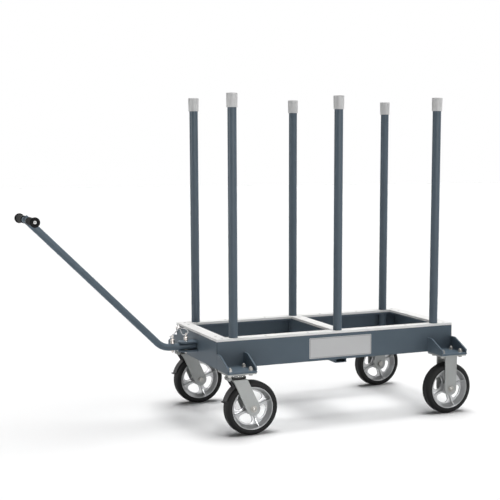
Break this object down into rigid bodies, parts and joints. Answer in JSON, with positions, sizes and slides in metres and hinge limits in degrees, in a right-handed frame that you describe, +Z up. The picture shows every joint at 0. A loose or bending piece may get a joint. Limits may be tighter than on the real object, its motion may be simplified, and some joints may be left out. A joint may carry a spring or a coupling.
{
  "type": "sheet goods cart",
  "caption": "Steel-channel cart with pairs of lift-out uprights for sheets on edge, pale deck strips, braked swivel and rigid casters, and a pinned T-bar tow handle",
  "frame": {"origin": "middle of the cart's plan, casters and tow handle included, on the floor", "axes": "+X points away from the tow handle along the deck, +Y to the side away from the plain plate, +Z up"},
  "size_m": [1.7124, 0.6886, 1.248],
  "materials": {
    "painted_steel": "blue-grey powder coat",
    "plated_fasteners": "bright zinc plate",
    "zinc_fork": "satin zinc plate",
    "black_steel": "black paint",
    "grip_rubber": "matt black",
    "wheel_aluminium": "cast and machined",
    "tyre_rubber": "moulded black rubber",
    "bright_steel": "ground steel",
    "cap_plastic": "grey moulded plastic",
    "wear_strip": "white, faintly ribbed",
    "plain_plate": "plain light grey",
    "wire_rope": "stranded steel rope"
  },
  "bodies": {
    "frame": {"side_rail_left": "painted_steel", "side_rail_right": "painted_steel", "end_rail_front": "painted_steel", "end_rail_rear": "painted_steel", "cross_member": "painted_steel", "under_channel": "painted_steel", "deck_strips": "wear_strip", "strip_screws": "plated_fasteners", "caster_brackets": "painted_steel", "caster_bolts": "plated_fasteners", "data_plate": "plain_plate", "hitch_plates": "painted_steel", "handle_stub": "painted_steel", "lanyard_anchor": "plated_fasteners", "tow_handle": "painted_steel", "grip_left": "grip_rubber", "grip_right": "grip_rubber", "handle_plugs": "cap_plastic", "lanyard_rear": "wire_rope", "lanyard_front": "wire_rope", "upright_spigots": "painted_steel", "rigid_fork_left": "zinc_fork", "rigid_fork_right": "zinc_fork", "rigid_axles": "plated_fasteners", "swivel_top_plates": "zinc_fork", "kingpins": "plated_fasteners", "ball_races": "bright_steel"},
    "upright_front_left": {"upright_front_left": "painted_steel", "cap_front_left": "cap_plastic"},
    "upright_front_right": {"upright_front_right": "painted_steel", "cap_front_right": "cap_plastic"},
    "upright_middle_left": {"upright_middle_left": "painted_steel", "cap_middle_left": "cap_plastic"},
    "upright_middle_right": {"upright_middle_right": "painted_steel", "cap_middle_right": "cap_plastic"},
    "upright_rear_left": {"upright_rear_left": "painted_steel", "cap_rear_left": "cap_plastic"},
    "upright_rear_right": {"upright_rear_right": "painted_steel", "cap_rear_right": "cap_plastic"},
    "hitch_pin_rear": {"hitch_pin_rear": "plated_fasteners"},
    "hitch_pin_front": {"hitch_pin_front": "plated_fasteners"},
    "swivel_left": {"swivel_fork_left": "zinc_fork", "swivel_axle_left": "plated_fasteners"},
    "front_wheel_left": {"hub_front_left": "wheel_aluminium", "tyre_front_left": "tyre_rubber", "bearing_front_left": "bright_steel"},
    "rear_wheel_left": {"hub_rear_left": "wheel_aluminium", "tyre_rear_left": "tyre_rubber", "bearing_rear_left": "bright_steel"},
    "brake_left": {"brake_lever_left": "black_steel"},
    "swivel_right": {"swivel_fork_right": "zinc_fork", "swivel_axle_right": "plated_fasteners"},
    "front_wheel_right": {"hub_front_right": "wheel_aluminium", "tyre_front_right": "tyre_rubber", "bearing_front_right": "bright_steel"},
    "rear_wheel_right": {"hub_rear_right": "wheel_aluminium", "tyre_rear_right": "tyre_rubber", "bearing_rear_right": "bright_steel"},
    "brake_right": {"brake_lever_right": "black_steel"}
  },
  "joints": [
    {"name": "upright_front_left_lift", "type": "slide", "parent": "frame", "child": "upright_front_left", "axis": [0, 0, 1], "range_m": [0, 0.105]},
    {"name": "upright_front_right_lift", "type": "slide", "parent": "frame", "child": "upright_front_right", "axis": [0, 0, 1], "range_m": [0, 0.105]},
    {"name": "upright_middle_left_lift", "type": "slide", "parent": "frame", "child": "upright_middle_left", "axis": [0, 0, 1], "range_m": [0, 0.105]},
    {"name": "upright_middle_right_lift", "type": "slide", "parent": "frame", "child": "upright_middle_right", "axis": [0, 0, 1], "range_m": [0, 0.105]},
    {"name": "upright_rear_left_lift", "type": "slide", "parent": "frame", "child": "upright_rear_left", "axis": [0, 0, 1], "range_m": [0, 0.105]},
    {"name": "upright_rear_right_lift", "type": "slide", "parent": "frame", "child": "upright_rear_right", "axis": [0, 0, 1], "range_m": [0, 0.105]},
    {"name": "hitch_pin_rear_pull", "type": "slide", "parent": "frame", "child": "hitch_pin_rear", "axis": [0, 0, 1], "range_m": [0, 0.06], "deforming": ["lanyard_rear"]},
    {"name": "hitch_pin_front_pull", "type": "slide", "parent": "frame", "child": "hitch_pin_front", "axis": [0, 0, 1], "range_m": [0, 0.06], "deforming": ["lanyard_front"]},
    {"name": "swivel_left_turn", "type": "hinge", "parent": "frame", "child": "swivel_left", "pos_m": [-0.14713, -0.28715, 0.214], "axis": [0, 0, 1], "continuous": true},
    {"name": "front_wheel_left_spin", "type": "hinge", "parent": "swivel_left", "child": "front_wheel_left", "pos_m": [-0.09473, -0.28715, 0.1016], "axis": [0, 1, 0], "continuous": true},
    {"name": "rear_wheel_left_spin", "type": "hinge", "parent": "frame", "child": "rear_wheel_left", "pos_m": [0.75457, -0.28715, 0.1016], "axis": [0, 1, 0], "continuous": true},
    {"name": "brake_left_release", "type": "hinge", "parent": "swivel_left", "child": "brake_left", "pos_m": [-0.18213, -0.28715, 0.217], "axis": [0, 1, 0], "range_deg": [0, 12]},
    {"name": "swivel_right_turn", "type": "hinge", "parent": "frame", "child": "swivel_right", "pos_m": [-0.14713, 0.28715, 0.214], "axis": [0, 0, 1], "continuous": true},
    {"name": "front_wheel_right_spin", "type": "hinge", "parent": "swivel_right", "child": "front_wheel_right", "pos_m": [-0.09473, 0.28715, 0.1016], "axis": [0, 1, 0], "continuous": true},
    {"name": "rear_wheel_right_spin", "type": "hinge", "parent": "frame", "child": "rear_wheel_right", "pos_m": [0.75457, 0.28715, 0.1016], "axis": [0, 1, 0], "continuous": true},
    {"name": "brake_right_release", "type": "hinge", "parent": "swivel_right", "child": "brake_right", "pos_m": [-0.18213, 0.28715, 0.217], "axis": [0, 1, 0], "range_deg": [0, 12]}
  ]
}
